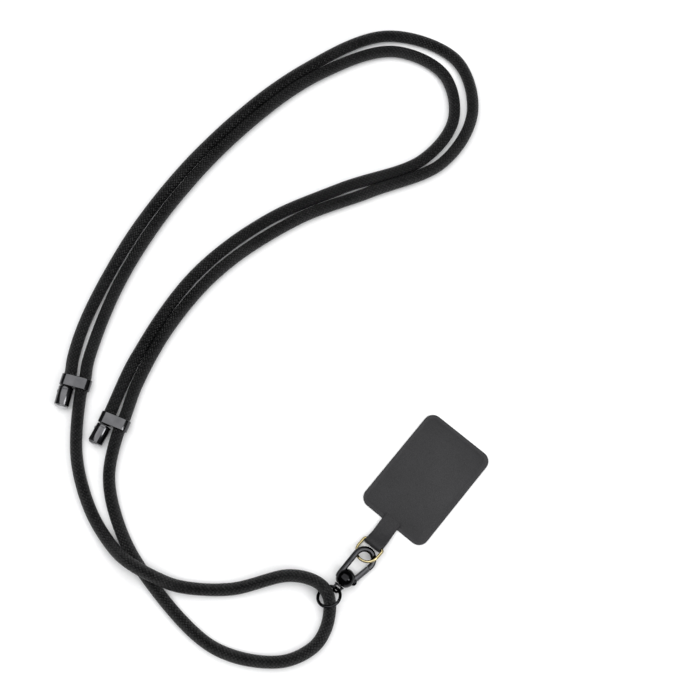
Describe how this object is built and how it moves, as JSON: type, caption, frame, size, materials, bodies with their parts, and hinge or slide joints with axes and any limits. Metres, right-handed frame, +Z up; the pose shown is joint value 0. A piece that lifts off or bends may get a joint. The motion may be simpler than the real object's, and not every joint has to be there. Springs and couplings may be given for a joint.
{
  "type": "phone strap",
  "caption": "Long round braided cord with sliding adjusters and end caps, and a swivel snap hook clipped into the D-ring of a thin leather tether card.",
  "frame": {"origin": "on the table, half way between the front of the strap ring and the far edge of the tether card, below the hook's axis; the cord, its adjusters and its caps are left out of this box", "axes": "+Y along the snap hook from the cord's ring to the tether card, +Z up from the table, +X to the right"},
  "size_m": [0.2171, 0.3134, 0.0116],
  "materials": {
    "braid": "matte black braid",
    "black_nickel": "glossy black nickel plating",
    "gold": "polished pale gold plating",
    "leather": "matte dark grey fine grain"
  },
  "bodies": {
    "strap": {"cord": "braid", "adjuster_left": "black_nickel", "adjuster_right": "black_nickel", "end_cap_left": "black_nickel", "end_cap_right": "black_nickel", "strap_ring": "black_nickel", "swivel_eye": "black_nickel"},
    "hook": {"hook_body": "black_nickel", "d_ring": "gold", "tether_patch": "leather"},
    "gate": {"hook_gate": "black_nickel"}
  },
  "joints": [
    {"name": "hook_swivel", "type": "hinge", "parent": "strap", "child": "hook", "pos_m": [0, -0.03597, 0.0046], "axis": [0, 1, 0], "continuous": true},
    {"name": "gate_hinge", "type": "hinge", "parent": "hook", "child": "gate", "pos_m": [0.00347, -0.03507, 0.00305], "axis": [0.4067, 0, 0.9135], "range_deg": [0, 28], "stiffness_Nm_per_rad": 0.002, "springref_deg": -20.05}
  ]
}
